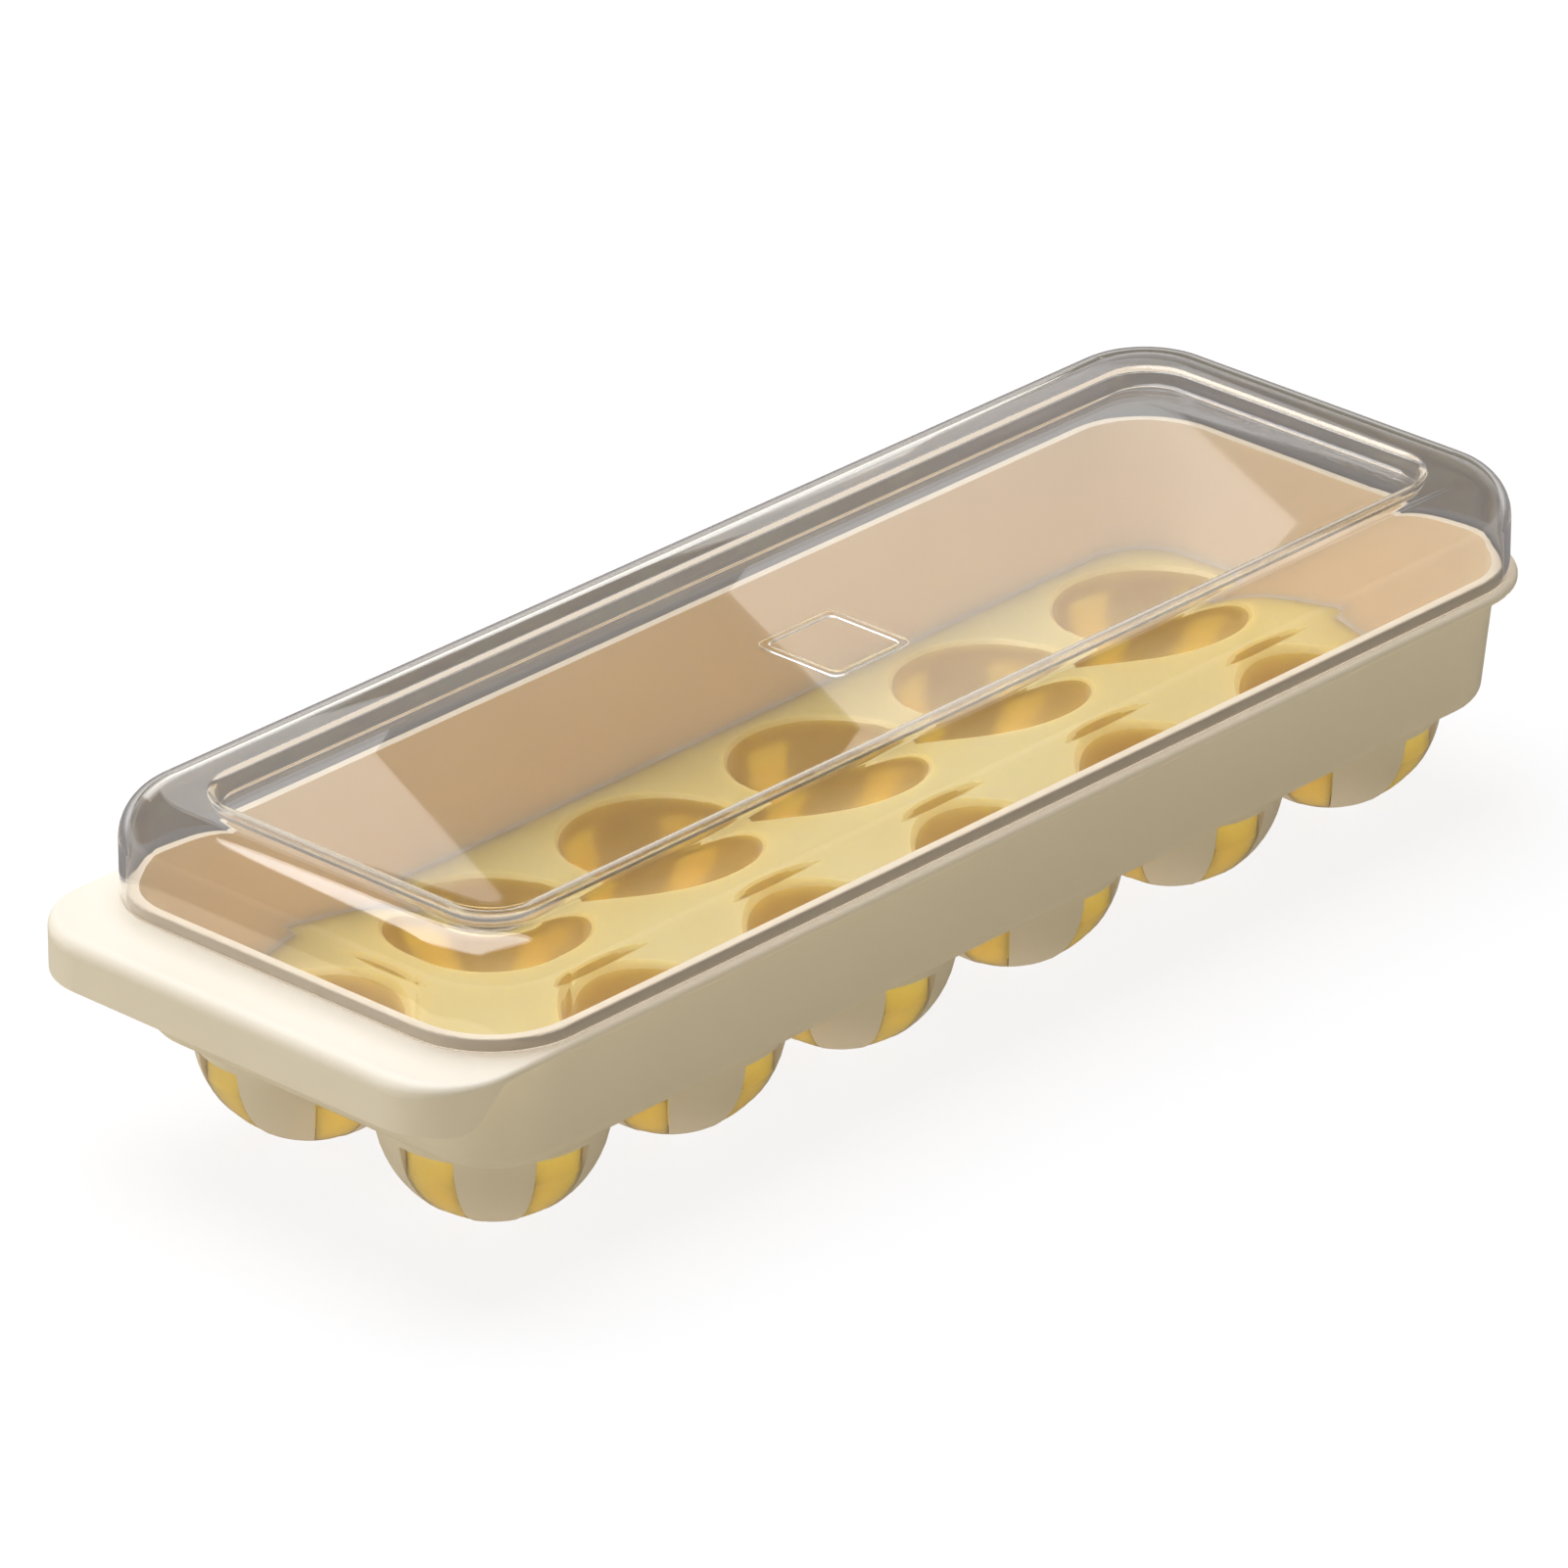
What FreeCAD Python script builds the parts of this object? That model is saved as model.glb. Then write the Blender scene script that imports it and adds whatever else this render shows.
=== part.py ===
"""Egg keeper: a moulded base with ball-shaped egg cups, a loose egg tray and a clear lift-off lid.

Millimetres, +Z up, X across the rows and Y along them, with the handle at -Y.
The origin is on the table under the middle of the whole outline.
"""
import FreeCAD, Part
import math
import os

from FreeCAD import Vector

# Egg cups: a grid of balls that stand on small flats
rows = 2
cups_per_row = 6
cup_radius = 22.5
cup_gap = 3.0
cup_foot_cut = 1.2
cage_wall = 1.3

# Windows in each cup: one band between them faces outwards on the diagonal of a block of four cups
windows_per_cup = 5
window_angle = 31.5
window_cap_angle = 24.0
window_top_drop = 2.0

# Tub above the cups
tub_depth = 28.0
tub_wall = 1.5
floor_thickness = 1.6
tub_margin = 3.1
tub_draft = 2.8
tub_bottom_round = 4.0
field_corner = 12.1

# Ledge round the tub, and the collar that the lid drops over
ledge_thickness = 2.0
ledge_edge_round = 0.9
ledge_reach = 1.6
collar_height = 2.4
collar_step = 0.8
collar_edge_round = 0.4

# Pull handle in front: a plate level with the ledge, with a skirt hanging from it
handle_reach = 13.2
handle_drop = 10.3
handle_wall = 2.0
handle_corner = 16.3
handle_round = 3.0
handle_inner_round = 1.5
sweep_start = 5.6
sweep_past = 2.3

# Loose tray that lies on the floor with its cups inside the cages, and pads that fill the windows
tray_gap = 0.3
tray_wall = 1.4
pad_sink = 0.2
pad_gap = 0.3
deck_thickness = 1.5
deck_edge_gap = 0.5
mouth_bevel = 0.8

# Clear lid with a sunk top panel
lid_gap = 0.3
lid_wall = 1.5
lid_height = 21.4
shoulder_round = 10.0
recess_inset = 15.8
recess_depth = 3.5
recess_draft = 0.8
recess_corner = 10.5
recess_edge_round = 1.5
recess_foot_round = 1.0
frame_side = 21.5
frame_width = 1.4
frame_height = 0.6
frame_corner = 2.0

# Heights
cup_pitch = 2 * cup_radius + cup_gap
cup_centre_z = cup_radius - cup_foot_cut
floor_z = cup_centre_z
floor_top_z = floor_z + floor_thickness
ledge_z = floor_z + tub_depth
ledge_under_z = ledge_z - ledge_thickness
collar_z = ledge_z + collar_height
lid_top_z = ledge_z + lid_height
panel_z = lid_top_z - recess_depth

# Distances outside the rectangle that just holds the cups
field_x = (rows - 1) * cup_pitch / 2 + cup_radius
field_y = (cups_per_row - 1) * cup_pitch / 2 + cup_radius
collar_out = tub_margin + tub_draft + collar_step
lid_inside = collar_out + lid_gap
lid_out = lid_inside + lid_wall
ledge_out = lid_out + ledge_reach

# Outline of the handle
half_width = field_x + ledge_out
back_y = field_y + ledge_out
front_y = -(back_y + handle_reach)
bend_x = half_width - handle_corner
bend_y = front_y + handle_corner
sweep_low_y = front_y + sweep_start
sweep_high_y = bend_y + sweep_past
skirt_z = ledge_z - handle_drop
room_round = tub_bottom_round - tub_wall
overlap = 1.0
tiny = 1e-4


def rounded_rectangle(half_x, half_y, radius, z):
    """Closed wire of four straight runs and four quarter arcs, at height z."""
    edges = []
    centres = [(half_x - radius, half_y - radius), (radius - half_x, half_y - radius),
               (radius - half_x, radius - half_y), (half_x - radius, radius - half_y)]
    starts = [0, 90, 180, 270]
    arcs = []
    for (cx, cy), start in zip(centres, starts):
        points = []
        for turn in (start, start + 45, start + 90):
            a = math.radians(turn)
            points.append(Vector(cx + radius * math.cos(a), cy + radius * math.sin(a), z))
        arcs.append(points)
    for k, points in enumerate(arcs):
        following = arcs[(k + 1) % len(arcs)]
        edges.append(Part.Arc(*points).toShape())
        edges.append(Part.makeLine(points[-1], following[0]))
    return Part.Wire(edges)


def field_outline(grow, z):
    """The cup rectangle grown by a distance, with its corners growing alike."""
    return rounded_rectangle(field_x + grow, field_y + grow, field_corner + grow, z)


def block(lower, upper):
    """Solid between two outlines, with straight sides."""
    return Part.makeLoft([lower, upper], True, True)


def upright(grow, low, high):
    """Solid with upright walls on a grown cup rectangle."""
    return block(field_outline(grow, low), field_outline(grow, high))


def tub_grow(z):
    """How far outside the cup rectangle the outer wall stands at height z."""
    return tub_margin + tub_draft * (z - floor_z) / tub_depth


def foot_inset(height):
    """How far the rounded foot of the inside wall stands in at a height above the floor."""
    below = max(room_round - height, 0)
    return room_round - math.sqrt(room_round ** 2 - below ** 2)


def edges_at(shape, z):
    """Level edges at height z."""
    found = []
    for edge in shape.Edges:
        heights = [vertex.Z for vertex in edge.Vertexes] + [edge.CenterOfMass.z]
        if max(abs(h - z) for h in heights) < tiny:
            found.append(edge)
    return found


def box(low, high):
    """Box between two corners."""
    size = [b - a for a, b in zip(low, high)]
    return Part.makeBox(size[0], size[1], size[2], Vector(*low))


def prism(wire, height):
    """Upright solid on a closed level wire."""
    return Part.Face(wire).extrude(Vector(0, 0, height))


def cup_centres():
    """Middle of every cup in plan."""
    places = []
    for row in range(rows):
        for column in range(cups_per_row):
            x = (row - (rows - 1) / 2) * cup_pitch
            y = (column - (cups_per_row - 1) / 2) * cup_pitch
            places.append(Vector(x, y, 0))
    return places


def cup_facings():
    """Direction in plan of one band of every cup, in degrees."""
    facings = []
    for row in range(rows):
        for column in range(cups_per_row):
            across = 1 if row % 2 else -1
            along = 1 if column % 2 else -1
            facings.append(math.degrees(math.atan2(along, across)))
    return facings


def bowl(radius, foot_z, top_z):
    """Solid cup shape on the Z axis: a flat foot, a ball below and a straight neck above its equator."""
    foot_angle = -math.degrees(math.asin((cup_centre_z - foot_z) / radius))
    middle = Vector(0, 0, cup_centre_z)
    ball = Part.makeSphere(radius, middle, Vector(0, 0, 1), foot_angle, 0, 360)
    neck = Part.makeCylinder(radius, top_z - cup_centre_z, middle)
    return ball.fuse(neck)


def at_cups(shape):
    """A copy of the shape in every cup's place."""
    return [shape.translated(place) for place in cup_centres()]


def at_windows(wedge, angle):
    """A copy of a wedge of that angle in the middle of every window, turned with each cup's bands."""
    copies = []
    for place, facing in zip(cup_centres(), cup_facings()):
        for k in range(windows_per_cup):
            turn = facing + 360 / windows_per_cup * (k + 0.5) - angle / 2
            copies.append(wedge.rotated(Vector(0, 0, 0), Vector(0, 0, 1), turn).translated(place))
    return copies


def cup_windows():
    """Cutters of the base's windows: wedges from under the floor down to the foot cap."""
    inner_r = cup_radius - 2 * cage_wall
    outer_r = cup_radius + cup_gap / 2
    top = floor_z - window_top_drop
    slope = math.radians(window_cap_angle)
    corners = [Vector(inner_r * math.sin(slope), 0, cup_centre_z - inner_r * math.cos(slope)),
               Vector(outer_r * math.sin(slope), 0, cup_centre_z - outer_r * math.cos(slope)),
               Vector(outer_r, 0, cup_centre_z - outer_r * math.cos(slope)),
               Vector(outer_r, 0, top),
               Vector(inner_r * math.sin(slope), 0, top)]
    profile = Part.Face(Part.makePolygon(corners + corners[:1]))
    wedge = profile.revolve(Vector(0, 0, 0), Vector(0, 0, 1), window_angle)
    return at_windows(wedge, window_angle)


def cup_pads():
    """Pads of the tray's cups: a ball face just under the bands, cut straight above so that they lift out."""
    ball_r = cup_radius - pad_sink
    neck_r = cup_radius - cage_wall - tray_gap
    root_r = neck_r - tray_wall / 2
    top = floor_z - window_top_drop - pad_gap
    edge_angle = pad_gap / cup_radius
    low = math.radians(window_cap_angle) + edge_angle
    high = math.asin(neck_r / ball_r)
    root_high = math.acos((cup_centre_z - top) / root_r)

    def at(radius, turn):
        """Point of the half section, at an angle from straight down."""
        return Vector(radius * math.sin(turn), 0, cup_centre_z - radius * math.cos(turn))

    face = Part.Arc(at(ball_r, low), at(ball_r, (low + high) / 2), at(ball_r, high)).toShape()
    root = Part.Arc(at(root_r, root_high), at(root_r, (low + root_high) / 2), at(root_r, low)).toShape()
    crest = Vector(neck_r, 0, top)
    outline = Part.Wire([face,
                         Part.makeLine(at(ball_r, high), crest),
                         Part.makeLine(crest, at(root_r, root_high)),
                         root,
                         Part.makeLine(at(root_r, low), at(ball_r, low))])
    pad_angle = window_angle - 2 * math.degrees(edge_angle)
    pad = Part.Face(outline).revolve(Vector(0, 0, 0), Vector(0, 0, 1), pad_angle)
    return at_windows(pad, pad_angle)


def rim_plate():
    """Ledge plate from the back round to where the handle's corners begin, with a rounded edge."""
    whole = rounded_rectangle(half_width, back_y, field_corner + ledge_out, ledge_under_z)
    plate = prism(whole, ledge_thickness)
    plate = plate.common(box((-half_width, 0, ledge_under_z), (half_width, back_y, ledge_z)))
    plate = plate.fuse(box((-half_width, bend_y, ledge_under_z), (half_width, 0, ledge_z))).removeSplitter()
    edge = [e for e in edges_at(plate, ledge_z) + edges_at(plate, ledge_under_z)
            if e.CenterOfMass.y > bend_y + tiny]
    return plate.makeFillet(ledge_edge_round, edge)


def handle_bend():
    """One front corner of the handle, whose top edge goes from the handle's round to the ledge's."""
    centre = Vector(bend_x, bend_y, skirt_z)
    front = Vector(bend_x, front_y, skirt_z)
    side = Vector(half_width, bend_y, skirt_z)
    reach = handle_corner * math.sqrt(0.5)
    middle = Vector(bend_x + reach, bend_y - reach, skirt_z)
    arc = Part.Arc(front, middle, side).toShape()
    bend = prism(Part.Wire([Part.makeLine(centre, front), arc, Part.makeLine(side, centre)]), handle_drop)
    top = [e for e in edges_at(bend, ledge_z) if e.Length > handle_corner + overlap]
    return bend.makeFillet(handle_round, ledge_edge_round, top)


def handle_sweep():
    """Cutter under the skirt's ends, with an S-shaped top from the skirt's foot up to the ledge."""
    low_y = sweep_low_y
    high_y = sweep_high_y
    high_z = ledge_z - ledge_thickness / 2
    half = (high_y - low_y) / 2
    curve = Part.BezierCurve()
    curve.setPoles([Vector(0, low_y, skirt_z), Vector(0, low_y + half, skirt_z),
                    Vector(0, high_y - half, high_z), Vector(0, high_y, high_z)])
    below = skirt_z - overlap
    outline = Part.Wire([curve.toShape(),
                         Part.makeLine(Vector(0, high_y, high_z), Vector(0, high_y, below)),
                         Part.makeLine(Vector(0, high_y, below), Vector(0, low_y, below)),
                         Part.makeLine(Vector(0, low_y, below), Vector(0, low_y, skirt_z))])
    cutter = Part.Face(outline).extrude(Vector(2 * (half_width + overlap), 0, 0))
    return cutter.translated(Vector(-half_width - overlap, 0, 0))


def handle():
    """Front plate and skirt, open underneath for the fingers."""
    bar = box((-bend_x, front_y, skirt_z), (bend_x, bend_y, ledge_z))
    front_edge = [e for e in edges_at(bar, ledge_z) if abs(e.CenterOfMass.y - front_y) < tiny]
    bar = bar.makeFillet(handle_round, front_edge)
    bend = handle_bend()
    end = box((bend_x, bend_y, skirt_z), (half_width, sweep_high_y, ledge_z))
    end_edge = [e for e in edges_at(end, ledge_z) if abs(e.CenterOfMass.x - half_width) < tiny]
    end = end.makeFillet(ledge_edge_round, end_edge)
    across = Vector(1, 0, 0)
    origin = Vector(0, 0, 0)
    whole = bar.fuse([bend, end, bend.mirror(origin, across), end.mirror(origin, across)])
    finger_x = half_width - handle_wall
    finger_y = -front_y - handle_wall
    hollow_wire = rounded_rectangle(finger_x, finger_y, handle_corner - handle_wall, skirt_z - overlap)
    hollow = prism(hollow_wire, ledge_under_z - skirt_z + overlap)
    hollow = hollow.makeFillet(handle_inner_round, edges_at(hollow, ledge_under_z))
    return whole.cut([hollow, handle_sweep()])


def base():
    """Base moulding: caged cups, tub, ledge, collar and handle in one piece."""
    tub = block(field_outline(tub_grow(floor_z), floor_z), field_outline(tub_grow(ledge_z), ledge_z))
    tub = tub.makeFillet(tub_bottom_round, edges_at(tub, floor_z))
    collar = upright(collar_out, ledge_under_z, collar_z)
    collar = collar.makeFillet(collar_edge_round, edges_at(collar, collar_z))
    balls = at_cups(bowl(cup_radius, 0, floor_top_z + tub_bottom_round))
    outside = rim_plate().fuse([handle(), tub, collar] + balls)

    above_z = collar_z + overlap
    room = block(field_outline(tub_grow(floor_top_z) - tub_wall, floor_top_z),
                 field_outline(tub_grow(above_z) - tub_wall, above_z))
    room = room.makeFillet(room_round, edges_at(room, floor_top_z))
    hollows = at_cups(bowl(cup_radius - cage_wall, cage_wall, floor_top_z + overlap))
    return outside.cut(room).cut(hollows).cut(cup_windows()).removeSplitter()


def egg_tray():
    """Thin deck on the floor with a padded cup hanging into every cage."""
    deck_top = floor_top_z + deck_thickness
    deck_out = tub_grow(floor_top_z) - tub_wall - deck_edge_gap
    deck = block(field_outline(deck_out - foot_inset(0), floor_top_z),
                 field_outline(deck_out - foot_inset(deck_thickness), deck_top))
    outer_r = cup_radius - cage_wall - tray_gap
    outer_foot = cage_wall + tray_gap
    cups = at_cups(bowl(outer_r, outer_foot, deck_top))
    inner_r = outer_r - tray_wall
    hollows = at_cups(bowl(inner_r, outer_foot + tray_wall, deck_top))
    tray = deck.fuse(cups + cup_pads()).cut(hollows).removeSplitter()
    mouths = [e for e in edges_at(tray, deck_top) if abs(e.Length - 2 * math.pi * inner_r) < tiny]
    return tray.makeChamfer(mouth_bevel, mouths)


def lid():
    """Clear cover: upright skirt, round shoulder and a top panel sunk inside a raised rim."""
    recess_x = field_x + lid_out - recess_inset
    recess_y = field_y + lid_out - recess_inset

    def recess(grow, low):
        """Cutter of the sunk panel, grown all round for the underside."""
        radius = recess_corner + grow
        foot = grow - recess_draft * (lid_top_z - low) / recess_depth
        head = grow + recess_draft * overlap / recess_depth
        lower = rounded_rectangle(recess_x + foot, recess_y + foot, radius, low)
        upper = rounded_rectangle(recess_x + head, recess_y + head, radius, lid_top_z + overlap)
        return block(lower, upper)

    outside = upright(lid_out, ledge_z, lid_top_z)
    outside = outside.makeFillet(shoulder_round, edges_at(outside, lid_top_z))
    outside = outside.cut(recess(0, panel_z))
    inner_edge = [e for e in edges_at(outside, lid_top_z)
                  if abs(e.CenterOfMass.x) < recess_x + tiny and abs(e.CenterOfMass.y) < recess_y + tiny]
    outside = outside.makeFillet(recess_edge_round, inner_edge)
    outside = outside.makeFillet(recess_foot_round, edges_at(outside, panel_z))

    inside_top = lid_top_z - lid_wall
    inside = upright(lid_inside, ledge_z - overlap, inside_top)
    inside = inside.makeFillet(shoulder_round - lid_wall, edges_at(inside, inside_top))
    under_z = panel_z - lid_wall
    under = recess(lid_wall, under_z)
    under = under.makeFillet(recess_foot_round + lid_wall, edges_at(under, under_z))
    inside = inside.cut(under)

    half = frame_side / 2
    bare = half - frame_width
    ridge_z = under_z - frame_height
    ridge = prism(rounded_rectangle(half, half, frame_corner, ridge_z), frame_height)
    gap = prism(rounded_rectangle(bare, bare, frame_corner - frame_width, ridge_z), frame_height)
    return outside.cut(inside).fuse(ridge.cut(gap)).removeSplitter()


def write(name, shape):
    """Put a piece in the shared frame and write its STEP file."""
    middle = Vector(0, -(front_y + back_y) / 2, 0)
    placed = shape.translated(middle).Solids[0]
    print(name, "solids", len(shape.Solids), "valid", placed.isValid(), "volume", round(placed.Volume, 1))
    placed.exportStep("parts/" + name + ".step")


os.makedirs("parts", exist_ok=True)
write("base_box", base())
write("egg_tray", egg_tray())
write("lid", lid())
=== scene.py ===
import math

import bpy
import numpy as np
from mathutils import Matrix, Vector


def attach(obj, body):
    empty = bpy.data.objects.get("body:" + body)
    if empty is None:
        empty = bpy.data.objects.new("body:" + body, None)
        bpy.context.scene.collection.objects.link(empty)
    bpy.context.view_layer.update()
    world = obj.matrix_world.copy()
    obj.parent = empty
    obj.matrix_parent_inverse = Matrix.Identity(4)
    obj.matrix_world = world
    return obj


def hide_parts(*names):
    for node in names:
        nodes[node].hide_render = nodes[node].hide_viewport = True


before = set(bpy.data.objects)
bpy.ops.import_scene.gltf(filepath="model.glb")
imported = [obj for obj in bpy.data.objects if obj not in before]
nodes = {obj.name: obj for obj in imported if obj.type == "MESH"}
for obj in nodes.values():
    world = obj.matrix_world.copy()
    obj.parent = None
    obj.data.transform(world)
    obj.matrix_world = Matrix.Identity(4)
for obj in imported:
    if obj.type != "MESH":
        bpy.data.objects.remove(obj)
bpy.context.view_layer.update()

# Base box: one cream moulding with a drafted tub on ball-shaped cup cages, a ledge and collar for the lid
# and a pull handle. It is polypropylene from a finely etched mould, which leaves a soft satin surface.

skin_reach = (0.3, 0.7)  # the values that nearly all of the skin's noise lies between
cream_dark = (0.79, 0.72, 0.61)
cream_light = (0.82, 0.75, 0.64)
cream_roughness = (0.42, 0.55)
cream_grain_depth = 0.00002


def mould_skin_group():
    """Shader group: fine etched grain and slow clouding of a moulded surface, both as noise around one half."""
    group = bpy.data.node_groups.new("mould_skin", "ShaderNodeTree")
    for name, value in (("Grain Scale", 2600.0), ("Cloud Scale", 18.0)):
        socket = group.interface.new_socket(name, in_out="INPUT", socket_type="NodeSocketFloat")
        socket.default_value = value
    for name in ("Grain", "Cloud"):
        group.interface.new_socket(name, in_out="OUTPUT", socket_type="NodeSocketFloat")
    entry = group.nodes.new("NodeGroupInput")
    leave = group.nodes.new("NodeGroupOutput")
    place = group.nodes.new("ShaderNodeTexCoord")
    for name, detail in (("Grain", 3.0), ("Cloud", 2.0)):
        noise = group.nodes.new("ShaderNodeTexNoise")
        noise.inputs["Detail"].default_value = detail
        group.links.new(place.outputs["Object"], noise.inputs["Vector"])
        group.links.new(entry.outputs[name + " Scale"], noise.inputs["Scale"])
        group.links.new(noise.outputs["Fac"], leave.inputs[name])
    return group


mould_skin = mould_skin_group()


def settle(node, values):
    """Sets plain values on a node's own sockets, by their names."""
    for name, value in values.items():
        node.inputs[name].default_value = value


def plastic(name, grain_scale, cloud_scale):
    """New material with a Principled shader and a mould skin: returns the material, the shader and the skin node."""
    material = bpy.data.materials.new(name)
    material.use_nodes = True
    tree = material.node_tree
    shader = tree.nodes["Principled BSDF"]
    skin = tree.nodes.new("ShaderNodeGroup")
    skin.node_tree = mould_skin
    settle(skin, {"Grain Scale": grain_scale, "Cloud Scale": cloud_scale})
    return material, shader, skin


def spread(material, source, socket, reach, result):
    """Links a value to a socket, stretched evenly from the values that it reaches to those of the result."""
    tree = material.node_tree
    stretch = tree.nodes.new("ShaderNodeMapRange")
    settle(stretch, {"From Min": reach[0], "From Max": reach[1], "To Min": result[0], "To Max": result[1]})
    tree.links.new(source, stretch.inputs["Value"])
    tree.links.new(stretch.outputs["Result"], socket)


def tint(material, source, socket, dark, light):
    """Links a value of a mould skin to a colour socket, from a dark to a light colour."""
    tree = material.node_tree
    ramp = tree.nodes.new("ShaderNodeValToRGB")
    for element, position, colour in zip(ramp.color_ramp.elements, skin_reach, (dark, light)):
        element.position = position
        element.color = (*colour, 1.0)
    tree.links.new(source, ramp.inputs["Fac"])
    tree.links.new(ramp.outputs["Color"], socket)


def relief(material, shader, source, depth):
    """Links a value of a mould skin to the shader's normal as a bump of that depth in metres."""
    tree = material.node_tree
    bump = tree.nodes.new("ShaderNodeBump")
    settle(bump, {"Strength": 1.0, "Distance": depth})
    tree.links.new(source, bump.inputs["Height"])
    tree.links.new(bump.outputs["Normal"], shader.inputs["Normal"])


def dress(piece, material):
    """Gives a CAD piece its one material."""
    piece.data.materials.clear()
    piece.data.materials.append(material)


cream, cream_shader, cream_skin = plastic("cream_plastic", 2600.0, 18.0)
tint(cream, cream_skin.outputs["Cloud"], cream_shader.inputs["Base Color"], cream_dark, cream_light)
spread(cream, cream_skin.outputs["Grain"], cream_shader.inputs["Roughness"], skin_reach, cream_roughness)
relief(cream, cream_shader, cream_skin.outputs["Grain"], cream_grain_depth)
settle(cream_shader, {"IOR": 1.49})
dress(nodes["base_box"], cream)

# Egg tray: a loose honey-coloured moulding of see-through plastic, a thin deck with a round cup for each egg.
# It lies on the floor of the base by its weight, with its cups hanging in the base's cages.

honey_dark = (0.95, 0.645, 0.26)
honey_light = (0.99, 0.705, 0.31)
honey_roughness = (0.2, 0.24)
honey_wave_depth = 0.00004
honey, honey_shader, honey_skin = plastic("honey_plastic", 900.0, 25.0)
tint(honey, honey_skin.outputs["Cloud"], honey_shader.inputs["Base Color"], honey_dark, honey_light)
spread(honey, honey_skin.outputs["Grain"], honey_shader.inputs["Roughness"], skin_reach, honey_roughness)
relief(honey, honey_shader, honey_skin.outputs["Cloud"], honey_wave_depth)
settle(honey_shader, {"IOR": 1.5, "Transmission Weight": 0.12, "Subsurface Weight": 0.9, "Subsurface Scale": 0.008,
                      "Subsurface Radius": (0.9, 0.9, 0.5), "Sheen Weight": 0.3, "Sheen Roughness": 0.3})
dress(nodes["egg_tray"], honey)

# Lid: a clear cover of lightly smoked plastic, polished inside and out, with a sunk panel inside a raised rim.
# Its skirt drops over the base's collar and rests on the ledge. A square outline stands on the panel's underside.

millimetre = 0.001
lid_half = (55.0, 151.0)
lid_middle_y = 6.6
# Rows of inset from the lid's outside, height and fillet radius, from the panel's top round the foot to its underside.
lid_section = [(25.0, 67.2, 0.0), (16.6, 67.2, 1.0), (15.8, 70.7, 1.5), (0.0, 70.7, 10.0), (0.0, 49.32, 0.35),
               (1.5, 49.32, 0.35), (1.5, 69.2, 8.5), (14.64, 69.2, 0.3), (15.44, 65.7, 2.5), (25.0, 65.7, 0.0)]
# Insets, and the radius of the lid's corners seen from above at each of them.
lid_corner_at = ([0.0, 10.0, 14.6, 25.0], [20.6, 10.6, 11.7, 1.3])
# Rows of half width and height: across the square outline, from outside to inside.
ridge_section = [(11.4, 65.7), (11.0, 65.7), (10.85, 65.7), (10.78, 65.66), (10.75, 65.55), (10.75, 65.25),
                 (10.7, 65.14), (10.6, 65.1), (10.4, 65.1), (9.7, 65.1), (9.5, 65.1), (9.4, 65.14), (9.35, 65.25),
                 (9.35, 65.55), (9.32, 65.66), (9.25, 65.7), (9.1, 65.7), (8.7, 65.7)]
ridge_corner_most = 2.0
ridge_corner_share = 0.2
fillet_steps = 14
ring_corner_steps = 17
ring_run_steps = 12
smoke_clear = (0.97, 0.965, 0.96, 1.0)
smoke_roughness = (0.0, 0.02)
smoke_absorbed = (0.6, 0.58, 0.55, 1.0)
smoke_density = 70.0
smoke_square_light = (0.86, 0.8, 0.7, 1.0)
smoke_grazing_light = (0.7, 0.68, 0.66, 1.0)
smoke_dark = (0.0, 0.0, 0.0, 1.0)
# beige painted glow that the lid's wall gives off where light stays trapped in it, and the glow's strength
smoke_painted_glow_colour = (0.62, 0.55, 0.46, 1.0)
smoke_painted_glow_strength = 0.65
smoke_trapped_bounces = 2.5


def rounded_section(corners, steps):
    """Section through a wall, as rows of inset and height: at each corner an arc that touches both neighbouring lines.

    The arc's middle lies on the corner's bisector at radius / sin(half angle), and it turns evenly from line to line.
    """
    points = np.array(corners)
    rows = [points[:1, :2]]
    for before, here, after in zip(points[:-2], points[1:-1], points[2:]):
        back = (before - here)[:2] / np.linalg.norm((before - here)[:2])
        on = (after - here)[:2] / np.linalg.norm((after - here)[:2])
        half = math.acos(np.dot(back, on)) / 2
        bisector = (back + on) / np.linalg.norm(back + on)
        middle = here[:2] + bisector * here[2] / math.sin(half)
        side = here[:2] + back * here[2] / math.tan(half) - middle
        across = here[:2] + on * here[2] / math.tan(half) - middle
        turn = math.pi - 2 * half
        share = np.linspace(0.0, 1.0, steps)[:, None]
        rows.append(middle + (np.sin((1 - share) * turn) * side + np.sin(share * turn) * across) / math.sin(turn))
    rows.append(points[-1:, :2])
    return np.concatenate(rows)


def rounded_rings(half_x, half_y, corner, height, arc_steps, run_steps):
    """Grid of points: one ring per row, each a rectangle with quarter-circle corners.

    A point is its corner's sign times (half size - corner radius), plus the radius times a cosine or sine. Along a
    straight run the sign goes evenly from one corner's to the next, while the angle stays.
    """
    signs = np.array([(1, 1), (-1, 1), (-1, -1), (1, -1), (1, 1)], dtype=float)
    place, angle = [], []
    for k in range(4):
        place.append(np.repeat(signs[k][None], arc_steps, axis=0))
        angle.append(np.linspace(90.0 * k, 90.0 * (k + 1), arc_steps))
        share = np.linspace(0.0, 1.0, run_steps)[1:-1, None]
        place.append(signs[k] * (1 - share) + signs[k + 1] * share)
        angle.append(np.full(run_steps - 2, 90.0 * (k + 1)))
    place = np.concatenate(place)
    turn = np.radians(np.concatenate(angle))
    columns = [np.asarray(a)[:, None] for a in (half_x, half_y, corner, height)]
    x = place[:, 0] * (columns[0] - columns[2]) + columns[2] * np.cos(turn)
    y = place[:, 1] * (columns[1] - columns[2]) + columns[2] * np.sin(turn)
    return np.stack([x, y, np.broadcast_to(columns[3], x.shape)], axis=2)


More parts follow.
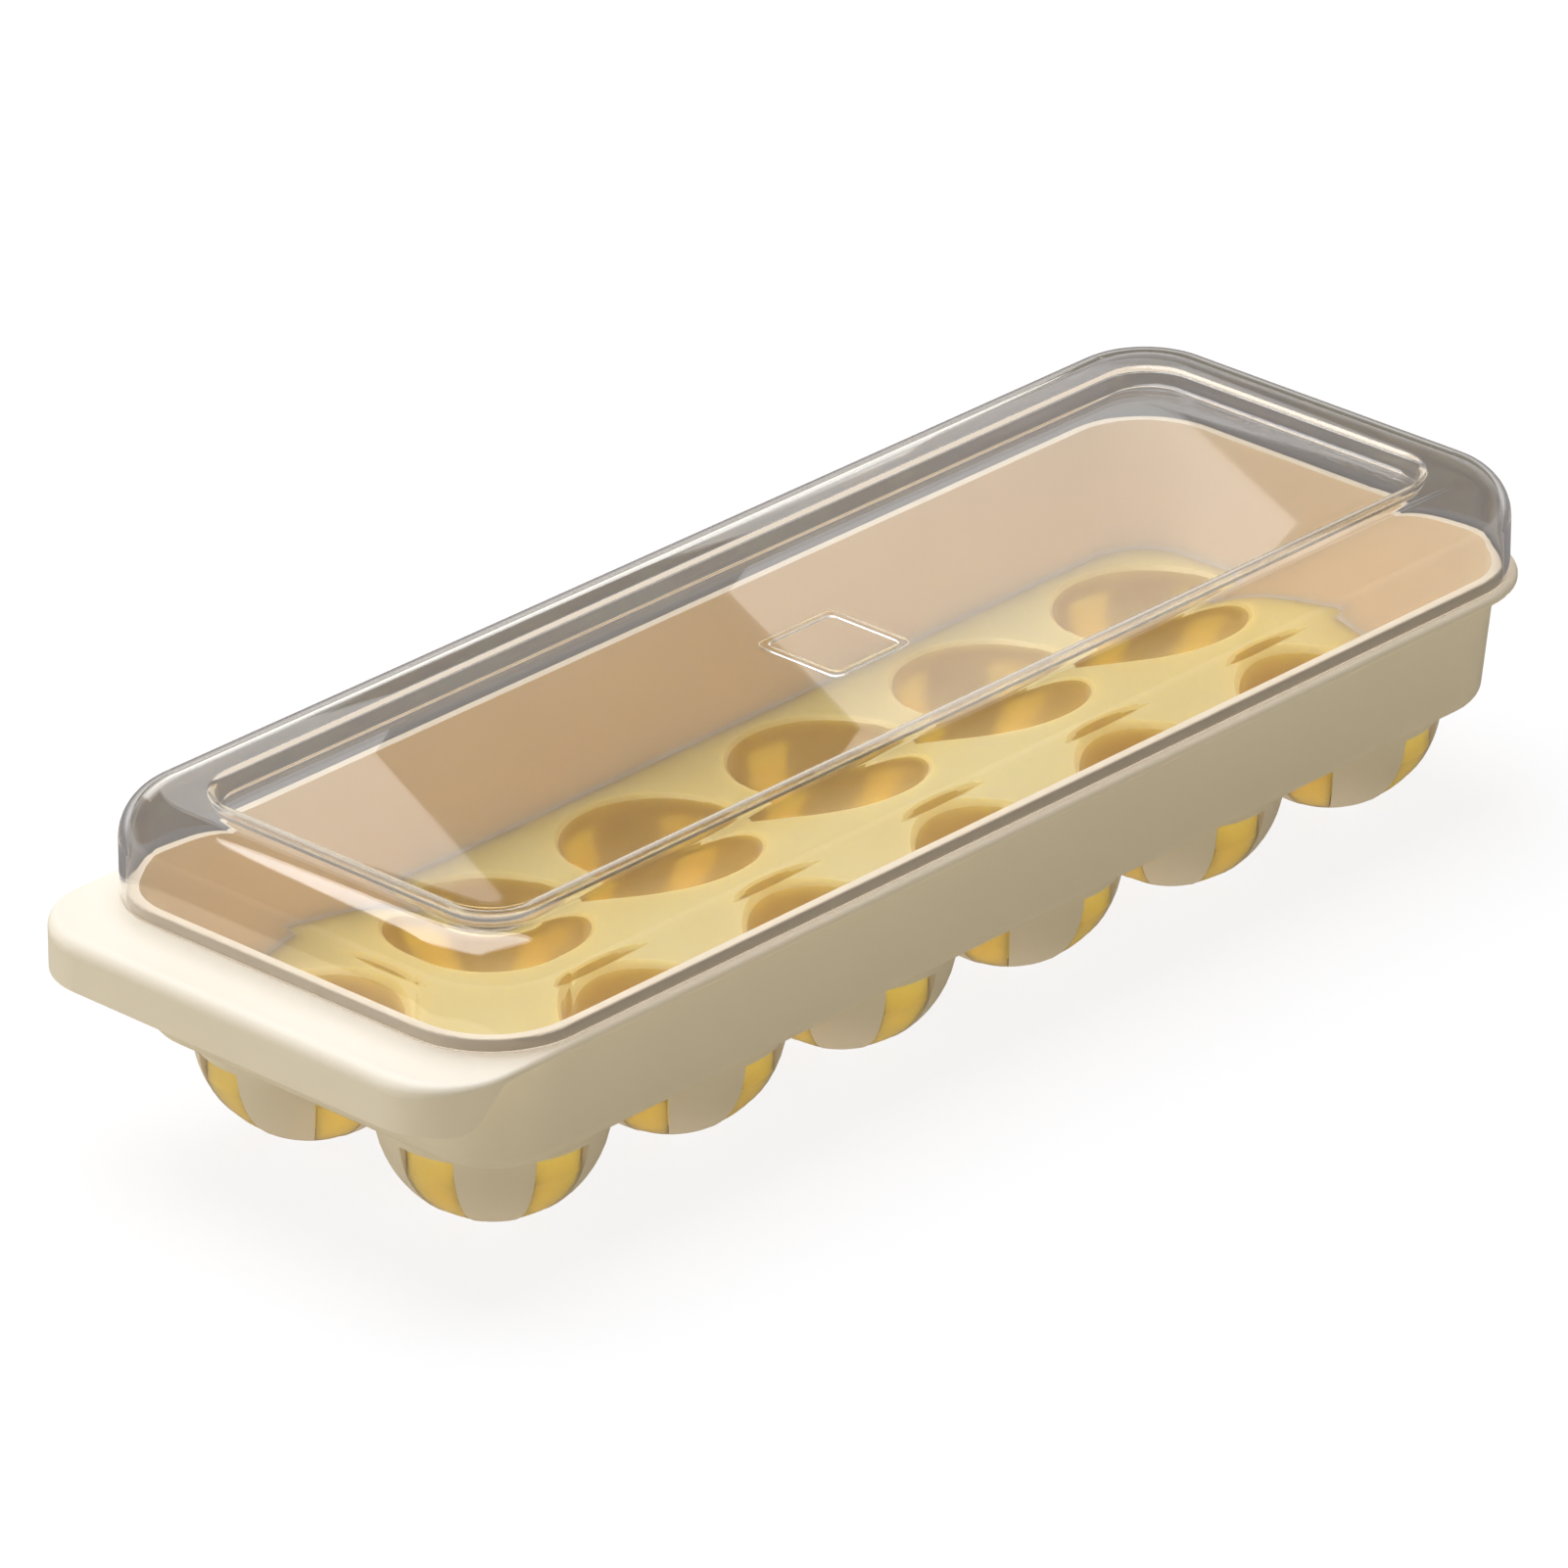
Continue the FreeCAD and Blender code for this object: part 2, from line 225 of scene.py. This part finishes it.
def closed_grid(name, grid):
    """Smooth mesh of a grid of rings: quads between neighbouring rings, which close on themselves, and a flat cap at
    each end."""
    rings, count = grid.shape[:2]
    index = np.arange(rings * count).reshape(rings, count)
    follow = np.roll(index, -1, axis=1)
    quads = np.stack([index[:-1], index[1:], follow[1:], follow[:-1]], axis=2).reshape(-1, 4)
    mesh = bpy.data.meshes.new(name)
    mesh.from_pydata(grid.reshape(-1, 3).tolist(), [], quads.tolist() + [index[0].tolist(), index[-1][::-1].tolist()])
    mesh.polygons.foreach_set("use_smooth", np.ones(len(mesh.polygons), dtype=bool))
    mesh.update()
    return mesh


lid_rows = rounded_section(lid_section, fillet_steps)
lid_inset = lid_rows[:, 0]
lid_corner = np.interp(lid_inset, *lid_corner_at)
lid_rings = rounded_rings(lid_half[0] - lid_inset, lid_half[1] - lid_inset, lid_corner, lid_rows[:, 1],
                          ring_corner_steps, ring_run_steps)
ridge_half, ridge_height = np.array(ridge_section).T
ridge_corner = np.minimum(ridge_corner_most, ridge_corner_share * ridge_half)
ridge_rings = rounded_rings(ridge_half, ridge_half, ridge_corner, ridge_height, ring_corner_steps, ring_run_steps)
lid_grid = (np.concatenate([lid_rings, ridge_rings]) + (0.0, lid_middle_y, 0.0)) * millimetre
lid_mesh = closed_grid("clear_lid", lid_grid)
lid = bpy.data.objects.new("clear_lid", lid_mesh)
bpy.context.scene.collection.objects.link(lid)


def colour_choice(material, factor, usual, other):
    """Mixes two colours by a factor, 0 for the usual one and 1 for the other, and returns the mixed colour's socket."""
    mix_usual, mix_other, mix_result = 6, 7, 2
    choice = material.node_tree.nodes.new("ShaderNodeMix")
    choice.data_type = "RGBA"
    choice.inputs[mix_usual].default_value = usual
    choice.inputs[mix_other].default_value = other
    material.node_tree.links.new(factor, choice.inputs["Factor"])
    return choice.outputs[mix_result]


smoke, smoke_shader, smoke_skin = plastic("smoked_clear_plastic", 60.0, 12.0)
smoke_tree = smoke.node_tree
smoke_surface = smoke_tree.nodes["Material Output"]
settle(smoke_shader, {"Base Color": smoke_clear, "IOR": 1.49, "Transmission Weight": 1.0,
                      "Emission Strength": smoke_painted_glow_strength})
spread(smoke, smoke_skin.outputs["Cloud"], smoke_shader.inputs["Roughness"], skin_reach, smoke_roughness)
smoke_shade = smoke_tree.nodes.new("ShaderNodeVolumeAbsorption")
settle(smoke_shade, {"Color": smoke_absorbed, "Density": smoke_density})
smoke_tree.links.new(smoke_shade.outputs["Volume"], smoke_surface.inputs["Volume"])

# Light from the lamps passes the lid with a weak shadow, a stronger one where it grazes the wall.
smoke_path = smoke_tree.nodes.new("ShaderNodeLightPath")
smoke_facing = smoke_tree.nodes.new("ShaderNodeLayerWeight")
smoke_passed = smoke_tree.nodes.new("ShaderNodeBsdfTransparent")
smoke_dim = colour_choice(smoke, smoke_facing.outputs["Facing"], smoke_square_light, smoke_grazing_light)
smoke_choice = smoke_tree.nodes.new("ShaderNodeMixShader")
smoke_tree.links.new(smoke_dim, smoke_passed.inputs["Color"])
smoke_tree.links.new(smoke_path.outputs["Is Shadow Ray"], smoke_choice.inputs["Fac"])
smoke_tree.links.new(smoke_shader.outputs["BSDF"], smoke_choice.inputs[1])
smoke_tree.links.new(smoke_passed.outputs["BSDF"], smoke_choice.inputs[2])
smoke_tree.links.new(smoke_choice.outputs["Shader"], smoke_surface.inputs["Surface"])

# Painted glow: rays that stay trapped in the wall past a few mirrored bounces make it give off a beige painted light,
# in the colour of the ledge at its foot, where such light would run down and end.
smoke_trapped = smoke_tree.nodes.new("ShaderNodeMath")
smoke_trapped.operation = "GREATER_THAN"
smoke_trapped.inputs[1].default_value = smoke_trapped_bounces
smoke_tree.links.new(smoke_path.outputs["Glossy Depth"], smoke_trapped.inputs[0])
smoke_painted_glow = colour_choice(smoke, smoke_trapped.outputs[0], smoke_dark, smoke_painted_glow_colour)
smoke_tree.links.new(smoke_painted_glow, smoke_shader.inputs["Emission Color"])
lid_mesh.materials.append(smoke)
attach(lid, "cover")
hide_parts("lid")

# Table: a plain pale sheet that the object stands on. It throws light back up as a white sheet does and is white where
# the camera sees it. In reflections and close behind the lid it stays grey, as the room does in the photograph; close
# behind the lid this grey is a painted shade, and farther behind the lid it brightens, so that the lifted lid looks
# clear.

table_half = 6.0
table_z = -0.0001
sheet_seen = (0.145, 0.138, 0.142, 1.0)
sheet_bounced = (0.76, 0.7, 0.54, 1.0)
sheet_white_lift = 0.86
sheet_grey_lift = 0.03
# lift seen far behind the lid, and the ray lengths over which the painted shade close behind the lid fades into it
sheet_behind_lift = 0.55
sheet_painted_shade_reach = (0.2, 0.4)
table_mesh = bpy.data.meshes.new("table")
table_mesh.from_pydata([(-table_half, -table_half, table_z), (table_half, -table_half, table_z),
                        (table_half, table_half, table_z), (-table_half, table_half, table_z)], [], [(0, 1, 2, 3)])
table = bpy.data.objects.new("table", table_mesh)
bpy.context.scene.collection.objects.link(table)
sheet = bpy.data.materials.new("pale_sheet")
sheet.use_nodes = True
sheet_tree = sheet.node_tree
sheet_shader = sheet_tree.nodes["Principled BSDF"]
settle(sheet_shader, {"Roughness": 0.9, "Specular IOR Level": 0.0, "Emission Color": (1.0, 1.0, 1.0, 1.0)})
sheet_path = sheet_tree.nodes.new("ShaderNodeLightPath")
sheet_colour = colour_choice(sheet, sheet_path.outputs["Is Diffuse Ray"], sheet_seen, sheet_bounced)
sheet_tree.links.new(sheet_colour, sheet_shader.inputs["Base Color"])
# Painted shade behind the lid: transmission rays that meet the sheet close to the object see it grey, longer ones see
# it lifted.
sheet_behind_painted_shade = sheet_tree.nodes.new("ShaderNodeMath")
sheet_behind_painted_shade.operation = "MULTIPLY"
sheet_tree.links.new(sheet_path.outputs["Is Transmission Ray"], sheet_behind_painted_shade.inputs[0])
spread(sheet, sheet_path.outputs["Ray Length"], sheet_behind_painted_shade.inputs[1], sheet_painted_shade_reach,
       (sheet_grey_lift, sheet_behind_lift))
sheet_mirrored = sheet_tree.nodes.new("ShaderNodeMath")
sheet_mirrored.operation = "MULTIPLY_ADD"
sheet_mirrored.inputs[1].default_value = sheet_grey_lift
sheet_tree.links.new(sheet_path.outputs["Is Glossy Ray"], sheet_mirrored.inputs[0])
sheet_tree.links.new(sheet_behind_painted_shade.outputs[0], sheet_mirrored.inputs[2])
sheet_lift = sheet_tree.nodes.new("ShaderNodeMix")
sheet_lift.data_type = "FLOAT"
sheet_lift.inputs["B"].default_value = sheet_white_lift
sheet_tree.links.new(sheet_path.outputs["Is Camera Ray"], sheet_lift.inputs["Factor"])
sheet_tree.links.new(sheet_mirrored.outputs[0], sheet_lift.inputs["A"])
sheet_tree.links.new(sheet_lift.outputs["Result"], sheet_shader.inputs["Emission Strength"])
table_mesh.materials.append(sheet)

# Studio light: a dim warm room, a large soft box overhead, one at the front left, a low warm one at the right, a light
# sheet under the cups, as no shadow lies there in the photograph, and cards behind that the lid mirrors.

room = bpy.data.worlds.new("warm_room")
room.use_nodes = True
settle(room.node_tree.nodes["Background"], {"Color": (1.0, 0.92, 0.74, 1.0), "Strength": 0.18})
bpy.context.scene.world = room


def soft_box(name, place, turn, width, height, power, colour, mirrored):
    """Rectangular area lamp at a place, turned by three angles in degrees from facing down, seen in gloss or not."""
    lamp = bpy.data.lights.new(name, "AREA")
    lamp.shape = "RECTANGLE"
    lamp.size = width
    lamp.size_y = height
    lamp.energy = power
    lamp.color = colour
    box = bpy.data.objects.new(name, lamp)
    box.location = place
    box.rotation_euler = [math.radians(angle) for angle in turn]
    box.visible_camera = False
    box.visible_glossy = mirrored
    box.visible_transmission = mirrored
    bpy.context.scene.collection.objects.link(box)


soft_box("overhead_box", (-0.45, -0.1, 1.7), (-3.0, -14.5, 0.0), 1.6, 1.6, 39.0, (0.97, 1.0, 1.06), True)
soft_box("front_left_box", (-1.4, -1.4, 0.4), (79.0, 0.0, -45.0), 1.0, 0.7, 9.0, (1.0, 0.98, 0.9), False)
soft_box("low_right_box", (1.5, -0.6, 0.22), (84.0, 0.0, 68.0), 1.6, 0.4, 1.9, (1.0, 0.84, 0.56), False)
soft_box("light_table", (0.0, 0.0066, -0.00005), (180.0, 0.0, 0.0), 0.1, 0.3, 0.043, (1.0, 0.95, 0.84), False)
soft_box("edge_card", (-0.99, 0.59, 0.4), (71.0, 0.0, -121.0), 0.7, 0.3, 0.9, (1.0, 0.97, 0.93), True)
soft_box("back_card", (-0.573, 0.726, 0.49), (0.0, 0.0, -24.7), 0.4, 0.164, 0.186, (0.95, 0.97, 1.0), True)
soft_box("middle_card", (-0.643, 0.419, 0.49), (0.0, 0.0, -24.7), 0.4, 0.2, 0.23, (0.95, 0.97, 1.0), True)

# Camera: above the front right corner at the photograph's viewing angle, far off with a long lens, so that the edges
# of the box run nearly parallel. The angles, the distance and the lens come from a fit to the box's edges.

view_azimuth = math.radians(42.81)
view_elevation = math.radians(25.91)
view_distance = 2.3428
view_target = Vector((0.0110, -0.0194, 0.0493))
towards = Vector((math.sin(view_azimuth) * math.cos(view_elevation),
                  -math.cos(view_azimuth) * math.cos(view_elevation),
                  math.sin(view_elevation)))
lens = bpy.data.cameras.new("camera")
lens.sensor_fit = "HORIZONTAL"
lens.sensor_width = 36.0
lens.lens = 281.3
lens.clip_end = 50.0
camera = bpy.data.objects.new("camera", lens)
camera.location = view_target + towards * view_distance
camera.rotation_euler = (-towards).to_track_quat("-Z", "Y").to_euler()
bpy.context.scene.collection.objects.link(camera)
bpy.context.scene.camera = camera
bpy.context.scene.view_settings.view_transform = "Standard"
